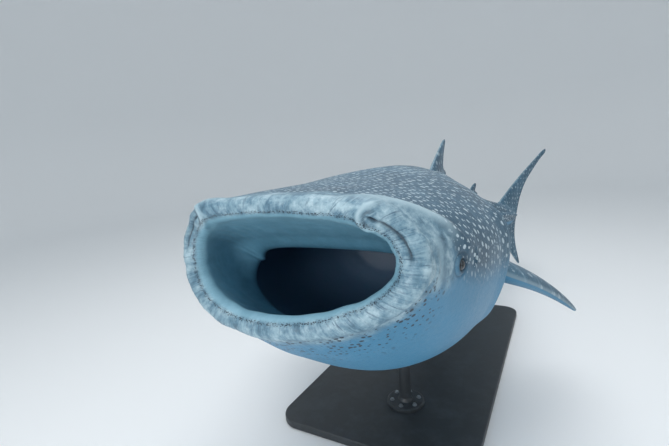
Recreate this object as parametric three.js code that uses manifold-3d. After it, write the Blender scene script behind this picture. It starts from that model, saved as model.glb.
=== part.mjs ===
// A life-size whale shark (Rhincodon typus) feeding with its mouth wide open, held by a display stand.
// Millimetres, +Z up. The snout points along -Y, the shark's left side is +X, and the origin is the
// centre of the underside of the stand's base.
// A place on the body is given as (s, u, v): s back along the spine from the upper lip, u to the
// shark's left and v up from the spine. Shares are shares of the total length.

import * as THREE from "three";
import { mergeVertices } from "three/addons/utils/BufferGeometryUtils.js";
import Module from "manifold-3d";

const wasm = await Module();
wasm.setup();

// Driving dimensions
const LENGTH = 7000;
const PITCH = THREE.MathUtils.degToRad(8);
const GAP = 0.3;
const SPINE_HEIGHT = 1700;
const BASE_SHARE = 0.37;
const COLUMNS = 48;

// Where the body is parted, as shares
const NECK = 0.128;
const GILL_END = 0.205;
const BODY_CUTS = [GILL_END, 0.42, 0.58, 0.71, 0.86];

// Heading of the spine in degrees, positive towards the shark's left: share, heading
const HEADING = [
  [0.08, 0],
  [0.2, -10],
  [0.33, -8],
  [0.45, -2],
  [0.6, 7],
  [0.75, 18],
  [0.88, 28],
  [1.0, 34],
];

// Outer body: share, half width, height above the spine, depth below it, squareness above and below
const BODY = [
  [0.0, 0.0805, 0.034, 0.034, 2.5, 2.0],
  [0.02, 0.084, 0.038, 0.0485, 2.5, 2.0],
  [0.045, 0.088, 0.042, 0.0665, 2.35, 2.05],
  [0.08, 0.0935, 0.0475, 0.0855, 2.15, 2.15],
  [0.13, 0.0995, 0.057, 0.0945, 1.95, 2.2],
  [0.19, 0.1025, 0.0655, 0.09, 1.78, 2.2],
  [0.27, 0.096, 0.0735, 0.08, 1.72, 2.15],
  [0.36, 0.082, 0.078, 0.07, 1.76, 2.1],
  [0.46, 0.068, 0.077, 0.061, 1.85, 2.1],
  [0.56, 0.054, 0.066, 0.051, 1.9, 2.05],
  [0.66, 0.041, 0.051, 0.039, 1.95, 2.0],
  [0.74, 0.03, 0.038, 0.029, 2.0, 2.0],
  [0.8, 0.023, 0.03, 0.022, 2.0, 2.0],
  [0.84, 0.017, 0.022, 0.016, 2.0, 2.0],
  [0.86, 0.009, 0.012, 0.009, 2.0, 2.0],
];

// Lining of the mouth and pharynx, in the same columns and how far its widest line lies below the spine
const LINING = [
  [0.008, 0.064, 0.0225, 0.0265, 2.6, 2.0, 0],
  [0.025, 0.068, 0.019, 0.038, 2.6, 2.0, 0.001],
  [0.045, 0.0705, 0.013, 0.047, 2.5, 2.0, 0.003],
  [0.062, 0.071, 0.008, 0.0465, 2.4, 2.1, 0.0075],
  [0.068, 0.0765, 0.014, 0.054, 2.3, 2.2, 0.007],
  [0.1, 0.0815, 0.021, 0.065, 2.1, 2.2, 0.005],
  [0.128, 0.082, 0.024, 0.069, 2.0, 2.1, 0.004],
  [0.155, 0.075, 0.025, 0.064, 2.0, 2.1, 0.004],
  [0.18, 0.053, 0.02, 0.047, 2.0, 2.0, 0.004],
  [0.19, 0.032, 0.012, 0.028, 2.0, 2.0, 0.004],
];

// Lips, from their outer side at turn 0 to their inner side at turn 1. Above each mouth corner the
// upper lip swells into a nostril lobe, and a groove runs from the nostril to the corner.
const LIP_DEPTH = 0.0075;
const LIP_TURNS = [0, 0.16, 0.32, 0.4, 0.48, 0.66, 0.83, 1];
const LOBE = { angle: 50, reach: 26, swell: 0.0038, fade: 0.035 };
const GROOVE = { turn: 0.4, width: 0.09, from: 3, to: 44, depth: 0.0022 };
const CORNER_BACK = 0.008;
const JAW_FORWARD = 0.013;
const RIM_FADE = 0.08;

// Ridges along the flanks: degrees above the widest line, first and last share, height
const RIDGES = [
  { angle: 60, from: 0.15, to: 0.72, height: 0.0018 },
  { angle: 37.5, from: 0.19, to: 0.76, height: 0.0022 },
  { angle: 7.5, from: 0.27, to: 0.85, height: 0.0028 },
];
const RIDGE_WIDTH = 7.5;
const HEAD_EDGE = { from: 66, to: 9, last: 0.05, width: 15, height: 0.0026 };
const KEEL = { from: 0.7, full: 0.8, height: 0.0085 };

// Gill slits, first to last, each behind the free edge of a flap
const GILLS = { first: 0.136, pitch: 0.0135, count: 5, step: 0.0014 };
const GILL_FLAP = { height: 0.0032, low: -42, high: 34, fade: 14 };

// Eyes, nostrils and spiracles
const EYE = { s: 0.047, v: -0.0025, radius: 26, proud: 9, lid: 9 };
const SPIRACLE = { s: 0.066, v: -0.001, length: 46, width: 18 };
const NOSTRIL = { angle: 44, turn: 0.5, length: 26, width: 10, depth: 16 };

// Fins of the midline: rows are share of the height, leading and trailing share, thickness
const FIRST_DORSAL = {
  base: 0.055,
  height: 0.086,
  rows: [
    [0, 0.425, 0.535, 0.024],
    [0.22, 0.441, 0.535, 0.0125],
    [0.34, 0.455, 0.543, 0.0105],
    [0.42, 0.464, 0.529, 0.0095],
    [0.6, 0.485, 0.529, 0.007],
    [0.8, 0.508, 0.534, 0.0045],
    [0.94, 0.524, 0.539, 0.0028],
    [1, 0.534, 0.539, 0.0014],
  ],
};
const SECOND_DORSAL = {
  base: 0.032,
  height: 0.04,
  rows: [
    [0, 0.648, 0.696, 0.014],
    [0.3, 0.656, 0.697, 0.007],
    [0.48, 0.663, 0.707, 0.0055],
    [0.6, 0.669, 0.696, 0.0045],
    [0.85, 0.682, 0.7, 0.0028],
    [1, 0.694, 0.7, 0.0014],
  ],
};
const ANAL = {
  base: -0.024,
  height: -0.042,
  rows: [
    [0, 0.662, 0.705, 0.013],
    [0.3, 0.67, 0.706, 0.0065],
    [0.5, 0.678, 0.715, 0.005],
    [0.66, 0.685, 0.704, 0.004],
    [0.88, 0.697, 0.709, 0.0026],
    [1, 0.706, 0.71, 0.0014],
  ],
};
const TAIL_UPPER = {
  base: 0,
  height: 0.163,
  rows: [
    [0, 0.785, 0.872, 0.019],
    [0.16, 0.797, 0.88, 0.0125],
    [0.3, 0.826, 0.889, 0.01],
    [0.5, 0.869, 0.909, 0.0075],
    [0.7, 0.913, 0.939, 0.0055],
    [0.84, 0.944, 0.962, 0.004],
    [0.94, 0.965, 0.981, 0.0028],
    [1, 0.98, 0.986, 0.0014],
  ],
};
const TAIL_LOWER = {
  base: 0,
  height: -0.112,
  rows: [
    [0, 0.785, 0.872, 0.019],
    [0.2, 0.797, 0.868, 0.012],
    [0.42, 0.82, 0.868, 0.009],
    [0.65, 0.844, 0.874, 0.0065],
    [0.86, 0.866, 0.883, 0.004],
    [1, 0.883, 0.888, 0.0014],
  ],
};

// Paired fins: root of the span (u, v), length of the span, droop in degrees at the root and the tip
const PECTORAL = {
  u: 0.066,
  v: -0.024,
  span: 0.142,
  droop: [13, 31],
  rows: [
    [0, 0.198, 0.285, 0.032],
    [0.3, 0.212, 0.29, 0.021],
    [0.42, 0.228, 0.305, 0.018],
    [0.58, 0.259, 0.319, 0.0145],
    [0.74, 0.292, 0.336, 0.011],
    [0.88, 0.322, 0.353, 0.0075],
    [0.97, 0.344, 0.363, 0.0042],
    [1, 0.354, 0.363, 0.0018],
  ],
};
const PELVIC = {
  u: 0.026,
  v: -0.036,
  span: 0.062,
  droop: [42, 34],
  rows: [
    [0, 0.505, 0.552, 0.014],
    [0.35, 0.512, 0.555, 0.0085],
    [0.55, 0.522, 0.567, 0.0062],
    [0.75, 0.535, 0.565, 0.0045],
    [0.92, 0.549, 0.567, 0.003],
    [1, 0.558, 0.567, 0.0015],
  ],
};

// Half thickness of a fin across its chord: share of the chord, share of the thickness
const FOIL = [
  [0, 0],
  [0.05, 0.5],
  [0.16, 0.85],
  [0.36, 1],
  [0.62, 0.75],
  [0.86, 0.36],
  [1, 0.14],
];
const LEAST_EDGE = 7;

// Display stand
const BASE = { width: 1500, length: 2900, thickness: 60, corner: 160, bevel: 10 };
const ROD = { radius: 48, foot_radius: 150, foot_height: 26, shares: [0.255, 0.462] };
const CRADLE = { width: 420, length: 300, height: 150, bite: 95 };

// Colours and finishes
const SKIN = new THREE.MeshStandardMaterial({ color: 0x5d7f95, roughness: 0.55, metalness: 0 });
const THROAT = new THREE.MeshStandardMaterial({ color: 0x8fbdd0, roughness: 0.55, metalness: 0 });
const FIN = new THREE.MeshStandardMaterial({ color: 0x587d94, roughness: 0.55, metalness: 0 });
const EYEBALL = new THREE.MeshStandardMaterial({ color: 0x10161c, roughness: 0.12, metalness: 0 });
const STAND = new THREE.MeshStandardMaterial({ color: 0x33383d, roughness: 0.5, metalness: 0.2 });

// Smooth value of a column of a table at s, by a cubic through its rows
function along(table, column, s) {
  const last = table.length - 1;
  if (s <= table[0][0]) return table[0][column];
  if (s >= table[last][0]) return table[last][column];
  const i = table.findIndex((row) => row[0] > s) - 1;
  const slope = (k) => {
    const before = table[Math.max(k - 1, 0)];
    const after = table[Math.min(k + 1, last)];
    return (after[column] - before[column]) / (after[0] - before[0]);
  };
  const width = table[i + 1][0] - table[i][0];
  const t = (s - table[i][0]) / width;
  const rise = t * t * (3 - 2 * t);
  return (
    table[i][column] * (1 - rise) +
    table[i + 1][column] * rise +
    slope(i) * width * t * (1 - t) * (1 - t) -
    slope(i + 1) * width * t * t * (1 - t)
  );
}

const smoothstep = THREE.MathUtils.smoothstep;
const power = (x, p) => Math.sign(x) * Math.abs(x) ** p;

// The spine, walked in small steps from the upper lip
const SPINE_STEPS = 500;
const spine = [];
for (let i = 0, x = 0, y = 0; i <= SPINE_STEPS; i++) {
  const heading = THREE.MathUtils.degToRad(along(HEADING, 1, i / SPINE_STEPS));
  spine.push([i / SPINE_STEPS, x, y, heading]);
  x += (Math.sin(heading) * LENGTH) / SPINE_STEPS;
  y += (Math.cos(heading) * LENGTH) / SPINE_STEPS;
}

const baseY = along(spine, 2, BASE_SHARE);
const baseX = along(spine, 1, BASE_SHARE);

// The point (s, u, v), where s is a share and u and v are millimetres
function place(s, u, v) {
  const ahead = Math.min(s, 0) * LENGTH;
  const heading = along(spine, 3, s);
  const x = along(spine, 1, s) + u * Math.cos(heading) - baseX;
  const y = along(spine, 2, s) + ahead - u * Math.sin(heading);
  return new THREE.Vector3(
    x,
    y * Math.cos(PITCH) + v * Math.sin(PITCH) - baseY * Math.cos(PITCH),
    SPINE_HEIGHT - y * Math.sin(PITCH) + v * Math.cos(PITCH),
  );
}

// A point of a rounded section at an angle, where 0 is the shark's left and 90 degrees is up
function section(table, s, angle, grow = 0) {
  const [w, a, b, above, below] = [1, 2, 3, 4, 5].map((column) => along(table, column, s));
  const p = 2 / (Math.sin(angle) >= 0 ? above : below);
  const height = Math.sin(angle) >= 0 ? a : b;
  const drop = table === LINING ? along(table, 6, s) * LENGTH : 0;
  return [
    (w * LENGTH + grow) * power(Math.cos(angle), p),
    (height * LENGTH + grow) * power(Math.sin(angle), p) - drop,
  ];
}

// How far ridges, keel and gill flaps stand out of the body
function relief(s, angle) {
  const side = THREE.MathUtils.radToDeg(Math.asin(Math.sin(angle)));
  const edge = HEAD_EDGE.from + (HEAD_EDGE.to - HEAD_EDGE.from) * Math.min(s / HEAD_EDGE.last, 1);
  const crest = smoothstep(1 - Math.abs(side - edge) / HEAD_EDGE.width, 0, 1);
  let out = HEAD_EDGE.height * crest * (1 - smoothstep(s, HEAD_EDGE.last, HEAD_EDGE.last + 0.03));
  const lobe = smoothstep(1 - Math.abs(side - LOBE.angle) / LOBE.reach, 0, 1);
  out += LOBE.swell * lobe * (1 - smoothstep(s, 0, LOBE.fade));
  for (const ridge of RIDGES) {
    const near = Math.max(0, 1 - Math.abs(side - ridge.angle) / RIDGE_WIDTH);
    const run = smoothstep(s, ridge.from, ridge.from + 0.08) * (1 - smoothstep(s, ridge.to - 0.06, ridge.to));
    out += ridge.height * smoothstep(near, 0, 1) * run;
  }
  const keel = Math.max(0, 1 - Math.abs(side - RIDGES[2].angle) / (2 * RIDGE_WIDTH));
  out += KEEL.height * smoothstep(keel, 0, 1) * smoothstep(s, KEEL.from, KEEL.full) * (1 - smoothstep(s, 0.83, 0.86));
  const row = (s - GILLS.first) / GILLS.pitch + 1;
  if (row > 0 && row < GILLS.count + GILLS.step / GILLS.pitch) {
    const part = row - Math.floor(row);
    const drop = GILLS.step / GILLS.pitch;
    const saw = row > 1 && part < drop ? 1 - part / drop : part ** 1.5;
    const reach =
      smoothstep(side, GILL_FLAP.low, GILL_FLAP.low + GILL_FLAP.fade) *
      (1 - smoothstep(side, GILL_FLAP.high - GILL_FLAP.fade, GILL_FLAP.high));
    out += GILL_FLAP.height * saw * reach;
  }
  return out * LENGTH;
}

function bodySection(s, angle, grow = 0) {
  const [u, v] = section(BODY, s, angle, grow);
  const stretch = 1 + relief(s, angle) / Math.hypot(u, v);
  return [u * stretch, v * stretch];
}

// The rim of the mouth isn't flat: its corners lie back and the lower lip reaches forward
function rimShift(s, angle) {
  const fade = 1 - smoothstep(s, 0, RIM_FADE);
  const back = CORNER_BACK * Math.cos(angle) ** 2;
  const forward = Math.sin(angle) < 0 ? JAW_FORWARD * Math.sin(angle) ** 2 : 0;
  return (back - forward) * fade;
}

const ring = (point) =>
  Array.from({ length: COLUMNS }, (_, j) => point((2 * Math.PI * j) / COLUMNS));

const bodyRing = (s, grow = 0) =>
  ring((angle) => place(s + rimShift(s, angle), ...bodySection(s, angle, grow)));

const liningRing = (s) => ring((angle) => place(s + rimShift(s, angle), ...section(LINING, s, angle)));

function lipPoint(turn, angle) {
  const side = THREE.MathUtils.radToDeg(Math.asin(Math.sin(angle)));
  const outer = bodySection(LIP_DEPTH, angle);
  const inner = section(LINING, LIP_DEPTH, angle);
  const mix = (1 - Math.cos(Math.PI * turn)) / 2;
  const lobe = smoothstep(1 - Math.abs(side - LOBE.angle) / LOBE.reach, 0, 1);
  const along_groove = smoothstep(side, GROOVE.from - 3, GROOVE.from + 6) * (1 - smoothstep(side, GROOVE.to - 6, GROOVE.to));
  const across_groove = smoothstep(1 - Math.abs(turn - GROOVE.turn) / GROOVE.width, 0, 1);
  const depth = (LIP_DEPTH + LOBE.swell * lobe) * Math.sin(Math.PI * turn) - GROOVE.depth * along_groove * across_groove;
  const [u, v] = outer.map((o, i) => o + (inner[i] - o) * mix);
  return [LIP_DEPTH - depth + rimShift(LIP_DEPTH, angle), u, v];
}

const lipRing = (turn) => ring((angle) => place(...lipPoint(turn, angle)));

// A closed skin through rings of points. Its ends are closed by fans, or it closes on itself.
function loft(rings, { closed = false, mirrored = () => false } = {}) {
  const count = rings[0].length;
  const points = rings.flat();
  const faces = [];
  const bands = closed ? rings.length : rings.length - 1;
  for (let i = 0; i < bands; i++) {
    const next = (i + 1) % rings.length;
    for (let j = 0; j < count; j++) {
      const k = (j + 1) % count;
      const [a, b, c, d] = [i * count + j, i * count + k, next * count + k, next * count + j];
      if (mirrored(j)) faces.push(a, b, d, b, c, d);
      else faces.push(a, b, c, a, c, d);
    }
  }
  if (!closed) {
    for (const [i, turn] of [[0, 1], [rings.length - 1, 0]]) {
      const middle = new THREE.Vector3();
      for (const p of rings[i]) middle.addScaledVector(p, 1 / count);
      points.push(middle);
      for (let j = 0; j < count; j++) {
        const [a, b] = [i * count + j, i * count + ((j + 1) % count)];
        if (turn) faces.push(b, a, points.length - 1);
        else faces.push(a, b, points.length - 1);
      }
    }
  }
  const geometry = new THREE.BufferGeometry().setFromPoints(points);
  geometry.setIndex(faces);
  return solidOf(geometry);
}

// manifold-3d solids from closed geometry, and back
function solidOf(geometry, matrix = new THREE.Matrix4()) {
  const bare = new THREE.BufferGeometry().setAttribute("position", geometry.getAttribute("position").clone());
  if (geometry.index) bare.setIndex(geometry.index.clone());
  bare.applyMatrix4(matrix);
  const merged = mergeVertices(bare, 1e-3);
  const corners = new Uint32Array(merged.index.array);
  const volume = signedVolume(merged.attributes.position, corners);
  if (volume < 0) {
    for (let i = 0; i < corners.length; i += 3) {
      [corners[i], corners[i + 1]] = [corners[i + 1], corners[i]];
    }
  }
  const mesh = new wasm.Mesh({
    numProp: 3,
    vertProperties: new Float32Array(merged.attributes.position.array),
    triVerts: corners,
  });
  return new wasm.Manifold(mesh);
}

function signedVolume(position, corners) {
  const [a, b, c] = [new THREE.Vector3(), new THREE.Vector3(), new THREE.Vector3()];
  let volume = 0;
  for (let i = 0; i < corners.length; i += 3) {
    a.fromBufferAttribute(position, corners[i]);
    b.fromBufferAttribute(position, corners[i + 1]);
    c.fromBufferAttribute(position, corners[i + 2]);
    volume += a.dot(b.cross(c)) / 6;
  }
  return volume;
}

function geometryOf(solid) {
  const mesh = solid.getMesh();
  const geometry = new THREE.BufferGeometry();
  geometry.setAttribute("position", new THREE.BufferAttribute(new Float32Array(mesh.vertProperties), 3));
  geometry.setIndex(new THREE.BufferAttribute(new Uint32Array(mesh.triVerts), 1));
  return geometry;
}

const largest = (solid) => solid.decompose().sort((a, b) => b.volume() - a.volume())[0];

const group = new THREE.Group();
function add(name, solid, material) {
  const mesh = new THREE.Mesh(geometryOf(largest(solid)), material);
  mesh.name = name;
  group.add(mesh);
}

const range = (from, to, steps) =>
  Array.from({ length: steps + 1 }, (_, i) => from + ((to - from) * i) / steps);

// Half the cut between two parts, as a share
const HALF_CUT = GAP / 2 / LENGTH;

// Head: the skin runs forward over the outside, round the lip and back along the lining
const headOuter = [0.108, 0.09, 0.073, 0.058, 0.045, 0.033, 0.022, 0.014];
const headInner = [0.014, 0.025, 0.038, 0.052, 0.062, 0.068, 0.085, 0.105];
const headTube = loft(
  [
    bodyRing(NECK - HALF_CUT),
    ...headOuter.map((s) => bodyRing(s)),
    ...LIP_TURNS.map(lipRing),
    ...headInner.map(liningRing),
    liningRing(NECK - HALF_CUT),
  ],
  { closed: true },
);

// A slab of space across the body, between two heights at the upper lip, that sinks towards the tail
function slab(low, high, sink = 0) {
  const box = new THREE.BoxGeometry(3 * LENGTH, 3 * LENGTH, high - low);
  box.translate(0, 0, (low + high) / 2);
  const matrix = new THREE.Matrix4().makeRotationX(-PITCH - sink);
  return solidOf(box, matrix.setPosition(place(0, 0, 0)));
}

// The corners of the mouth part the head from the lower jaw, and the join passes under the eyes
const JAW_CUT = -5;
const JAW_SINK = THREE.MathUtils.degToRad(10);
const ABOVE = slab(JAW_CUT + GAP / 2, LENGTH, JAW_SINK);
const BELOW = slab(-LENGTH, JAW_CUT - GAP / 2, JAW_SINK);

// An ellipsoid on the skin of the head, with its axes along u, s and v
function blob(side, s, u, v, [across, long, high], turn = 0) {
  const ball = new THREE.SphereGeometry(1, 14, 10);
  const matrix = new THREE.Matrix4()
    .makeRotationX(-PITCH)
    .multiply(new THREE.Matrix4().makeRotationY(turn * side))
    .scale(new THREE.Vector3(across, long, high))
    .setPosition(place(s, side * u, v));
  return solidOf(ball, matrix);
}

const skinHalfWidth = (s, v) => {
  let [low, high] = [0, Math.PI / 2];
  for (let i = 0; i < 30; i++) {
    const middle = (low + high) / 2;
    if (section(BODY, s, middle)[1] < v) low = middle;
    else high = middle;
  }
  return section(BODY, s, low)[0];
};

let head = headTube.intersect(ABOVE);
const [nostrilS, nostrilU, nostrilV] = lipPoint(NOSTRIL.turn, THREE.MathUtils.degToRad(NOSTRIL.angle));
const eyeV = EYE.v * LENGTH;
const eyeU = skinHalfWidth(EYE.s, eyeV);
const spiracleV = SPIRACLE.v * LENGTH;
const spiracleU = skinHalfWidth(SPIRACLE.s, spiracleV);
for (const side of [1, -1]) {
  const lid = EYE.radius + EYE.lid;
  head = head.add(blob(side, EYE.s, eyeU - 6, eyeV, [EYE.lid + 6, lid + 6, lid]));
  const opening = [NOSTRIL.length, NOSTRIL.depth, NOSTRIL.width];
  head = head.subtract(blob(side, nostrilS, nostrilU, nostrilV, opening, 0.5));
  const slot = [14, SPIRACLE.width / 2, SPIRACLE.length / 2];
  head = head.subtract(blob(side, SPIRACLE.s, spiracleU, spiracleV, slot, 0));
}
const eyeBall = (side, grow) =>
  blob(side, EYE.s, eyeU - EYE.radius + EYE.proud, eyeV, Array(3).fill(EYE.radius + grow));
for (const side of [1, -1]) head = head.subtract(eyeBall(side, GAP));
add("head", head.intersect(ABOVE), SKIN);
add("lower_jaw", headTube.intersect(BELOW), THROAT);
add("eye_left", eyeBall(1, 0), EYEBALL);
add("eye_right", eyeBall(-1, 0), EYEBALL);

// Gill region: a cup round the end of the pharynx, with five flaps on each side
const gillRings = [];
for (let i = GILLS.count - 1; i >= 0; i--) {
  const slit = GILLS.first + i * GILLS.pitch;
  gillRings.push(slit + GILLS.step, slit, slit - GILLS.pitch * 0.45);
}
add(
  "gill_region",
  loft([
    bodyRing(GILL_END - HALF_CUT),
    ...gillRings.filter((s) => s > NECK + 0.002).map((s) => bodyRing(s)),
    bodyRing(NECK + HALF_CUT),
    liningRing(NECK + HALF_CUT),
    ...[0.14, 0.155, 0.168, 0.18, 0.19].map(liningRing),
  ]),
  SKIN,
);

// Trunk and tail
const bodyNames = ["torso_front", "torso_rear", "tail_front", "tail_stalk"];
const ringSteps = [9, 7, 6, 7];
bodyNames.forEach((name, i) => {
  const from = BODY_CUTS[i] + HALF_CUT;
  const to = BODY_CUTS[i + 1] - HALF_CUT;
  add(name, loft(range(from, to, ringSteps[i]).map((s) => bodyRing(s))), SKIN);
});

// The whole body, a little larger, cuts what grows from it or carries it
const cutterShares = [
  ...range(0.1, NECK, 2).slice(0, -1),
  ...range(NECK, GILL_END, 4).slice(0, -1),
  ...bodyNames.flatMap((_, i) => range(BODY_CUTS[i], BODY_CUTS[i + 1], ringSteps[i]).slice(i ? 1 : 0)),
];
const cutter = loft(cutterShares.map((s) => bodyRing(s, GAP)));

// A fin from its rows. path(t) gives u, v and the direction of its thickness.
function fin({ rows }, path) {
  const steps = [];
  for (let i = 0; i < rows.length - 1; i++) steps.push(rows[i][0], (rows[i][0] + rows[i + 1][0]) / 2);
  steps.push(1);
  const rings = steps.map((t) => {
    const [lead, trail, thick] = [1, 2, 3].map((column) => along(rows, column, t));
    const [u, v, du, dv] = path(t);
    const at = ([chord, half], side) => {
      const h = Math.max((thick * LENGTH * half) / 2, chord ? LEAST_EDGE / 2 : 0) * side;
      return place(lead + (trail - lead) * chord, u + h * du, v + h * dv);
    };
    const upper = FOIL.map((f) => at(f, 1));
    const lower = FOIL.slice(1).map((f) => at(f, -1));
    return [...upper, ...lower.reverse()];
  });
  return loft(rings, { mirrored: (j) => j >= FOIL.length });
}

const middleFin = (f) => fin(f, (t) => [0, (f.base + f.height * t) * LENGTH, 1, 0]);

function pairedFin(f, side) {
  return fin(f, (t) => {
    const droop = THREE.MathUtils.degToRad(f.droop[0] + (f.droop[1] - f.droop[0]) * t);
    const reach = f.span * t;
    return [
      side * (f.u + reach * Math.cos(droop)) * LENGTH,
      (f.v - reach * Math.sin(droop)) * LENGTH,
      side * Math.sin(droop),
      Math.cos(droop),
    ];
  });
}

add("dorsal_fin_first", middleFin(FIRST_DORSAL).subtract(cutter), FIN);
add("dorsal_fin_second", middleFin(SECOND_DORSAL).subtract(cutter), FIN);
add("anal_fin", middleFin(ANAL).subtract(cutter), FIN);
add("caudal_fin_upper", middleFin(TAIL_UPPER).intersect(slab(GAP / 2, LENGTH)).subtract(cutter), FIN);
add("caudal_fin_lower", middleFin(TAIL_LOWER).intersect(slab(-LENGTH, -GAP / 2)).subtract(cutter), FIN);
for (const [name, side] of [["left", 1], ["right", -1]]) {
  add(`pectoral_fin_${name}`, pairedFin(PECTORAL, side).subtract(cutter), FIN);
  add(`pelvic_fin_${name}`, pairedFin(PELVIC, side).subtract(cutter), FIN);
}

// Stand: a flat base, two rods with round feet, and a cradle under the belly on each rod
const outline = new THREE.Shape();
const [halfWidth, halfLength] = [BASE.width / 2 - BASE.bevel, BASE.length / 2 - BASE.bevel];
const [cx, cy] = [halfWidth - BASE.corner, halfLength - BASE.corner];
outline.absarc(cx, cy, BASE.corner, 0, Math.PI / 2);
outline.absarc(-cx, cy, BASE.corner, Math.PI / 2, Math.PI);
outline.absarc(-cx, -cy, BASE.corner, Math.PI, 1.5 * Math.PI);
outline.absarc(cx, -cy, BASE.corner, 1.5 * Math.PI, 2 * Math.PI);
outline.closePath();
const plate = new THREE.ExtrudeGeometry(outline, {
  depth: BASE.thickness - 2 * BASE.bevel,
  bevelSize: BASE.bevel,
  bevelThickness: BASE.bevel,
  bevelSegments: 2,
  curveSegments: 8,
});
add("stand_base", solidOf(plate, new THREE.Matrix4().makeTranslation(0, 0, BASE.bevel)), STAND);

ROD.shares.forEach((share, i) => {
  const end = ["front", "rear"][i];
  const belly = section(BODY, share, -Math.PI / 2)[1];
  const cradleBottom = belly - CRADLE.height + CRADLE.bite;
  const cradleAt = new THREE.Matrix4().makeRotationX(-PITCH);
  cradleAt.setPosition(place(share, 0, cradleBottom + CRADLE.height / 2));
  const block = (grow) =>
    solidOf(
      new THREE.BoxGeometry(CRADLE.width + grow, CRADLE.length + grow, CRADLE.height + grow),
      cradleAt,
    );
  add(`stand_cradle_${end}`, block(0).subtract(cutter), STAND);
  const foot = BASE.thickness + GAP;
  const top = place(share, 0, cradleBottom + 20);
  const profile = [
    [0, foot],
    [ROD.foot_radius, foot],
    [ROD.foot_radius, foot + ROD.foot_height * 0.7],
    [ROD.foot_radius * 0.92, foot + ROD.foot_height],
    [ROD.radius * 1.25, foot + ROD.foot_height],
    [ROD.radius, foot + ROD.foot_height * 2],
    [ROD.radius, top.z],
    [0, top.z],
  ].map(([r, z]) => new THREE.Vector2(r, z));
  const lathe = new THREE.LatheGeometry(profile, 28);
  const upright = new THREE.Matrix4().makeRotationX(Math.PI / 2);
  upright.setPosition(top.x, top.y, 0);
  add(`stand_rod_${end}`, solidOf(lathe, upright).subtract(block(2 * GAP)), STAND);
});

export default group;
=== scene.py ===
# A life-size whale shark feeding with its mouth wide open, on a display stand.
# Metres, +Z up. The snout points along -Y and the shark's left side is +X. A place on the body is
# (s, u, v): s back along the spine as a share of the length, u to the left and v up in metres.

import math

import bpy
import numpy as np
from mathutils import Matrix, Vector
from mathutils.kdtree import KDTree


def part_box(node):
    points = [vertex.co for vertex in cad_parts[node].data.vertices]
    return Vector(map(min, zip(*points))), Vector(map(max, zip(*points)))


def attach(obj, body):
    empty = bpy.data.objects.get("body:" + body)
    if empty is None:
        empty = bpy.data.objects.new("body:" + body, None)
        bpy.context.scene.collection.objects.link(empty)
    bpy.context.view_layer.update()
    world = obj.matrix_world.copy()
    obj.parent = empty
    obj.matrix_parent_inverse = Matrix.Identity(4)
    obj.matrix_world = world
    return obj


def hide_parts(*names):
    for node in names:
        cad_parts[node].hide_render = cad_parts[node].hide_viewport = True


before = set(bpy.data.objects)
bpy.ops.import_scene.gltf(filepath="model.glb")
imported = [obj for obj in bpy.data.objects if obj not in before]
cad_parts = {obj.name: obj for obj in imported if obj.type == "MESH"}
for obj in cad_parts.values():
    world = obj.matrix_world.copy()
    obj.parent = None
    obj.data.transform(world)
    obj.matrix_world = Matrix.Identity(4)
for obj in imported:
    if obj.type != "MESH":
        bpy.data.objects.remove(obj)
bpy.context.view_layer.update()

# Size and pose of the animal
LENGTH = 7.0
PITCH = math.radians(8)
SPINE_HEIGHT = 1.7
BASE_SHARE = 0.37

# Heading of the spine in degrees, positive towards the shark's left: share, heading
HEADING = [
    [0.08, 0],
    [0.2, -10],
    [0.33, -8],
    [0.45, -2],
    [0.6, 7],
    [0.75, 18],
    [0.88, 28],
    [1.0, 34],
]

# Outer body: share, half width, height above the spine, depth below, squareness above and below
BODY = [
    [0.0, 0.0805, 0.034, 0.034, 2.5, 2.0],
    [0.02, 0.084, 0.038, 0.0485, 2.5, 2.0],
    [0.045, 0.088, 0.042, 0.0665, 2.35, 2.05],
    [0.08, 0.0935, 0.0475, 0.0855, 2.15, 2.15],
    [0.13, 0.0995, 0.057, 0.0945, 1.95, 2.2],
    [0.19, 0.1025, 0.0655, 0.09, 1.78, 2.2],
    [0.27, 0.096, 0.0735, 0.08, 1.72, 2.15],
    [0.36, 0.082, 0.078, 0.07, 1.76, 2.1],
    [0.46, 0.068, 0.077, 0.061, 1.85, 2.1],
    [0.56, 0.054, 0.066, 0.051, 1.9, 2.05],
    [0.66, 0.041, 0.051, 0.039, 1.95, 2.0],
    [0.74, 0.03, 0.038, 0.029, 2.0, 2.0],
    [0.8, 0.023, 0.03, 0.022, 2.0, 2.0],
    [0.84, 0.017, 0.022, 0.016, 2.0, 2.0],
    [0.86, 0.009, 0.012, 0.009, 2.0, 2.0],
]
TAIL_END = 0.86

# Lining of the mouth and pharynx: the same columns and how far its widest line lies below the spine
LINING = [
    [0.008, 0.064, 0.0225, 0.0265, 2.6, 2.0, 0],
    [0.025, 0.068, 0.019, 0.038, 2.6, 2.0, 0.001],
    [0.045, 0.0705, 0.013, 0.047, 2.5, 2.0, 0.003],
    [0.062, 0.071, 0.008, 0.0465, 2.4, 2.1, 0.0075],
    [0.068, 0.0765, 0.014, 0.054, 2.3, 2.2, 0.007],
    [0.1, 0.0815, 0.021, 0.065, 2.1, 2.2, 0.005],
    [0.128, 0.082, 0.024, 0.069, 2.0, 2.1, 0.004],
    [0.155, 0.075, 0.025, 0.064, 2.0, 2.1, 0.004],
    [0.18, 0.053, 0.02, 0.047, 2.0, 2.0, 0.004],
    [0.19, 0.032, 0.012, 0.028, 2.0, 2.0, 0.004],
]

# Rim between the mouth and the throat. Its two upper corners fold in towards a point that lies a
# drop in metres below the spine: angle and width of a fold in degrees, share that it draws in.
THROAT_RIM = {"s": 0.0605, "width": 0.014, "drop": 0.21}
THROAT_FOLDS = [[12, 22, 0.1], [168, 26, 0.2]]

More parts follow.
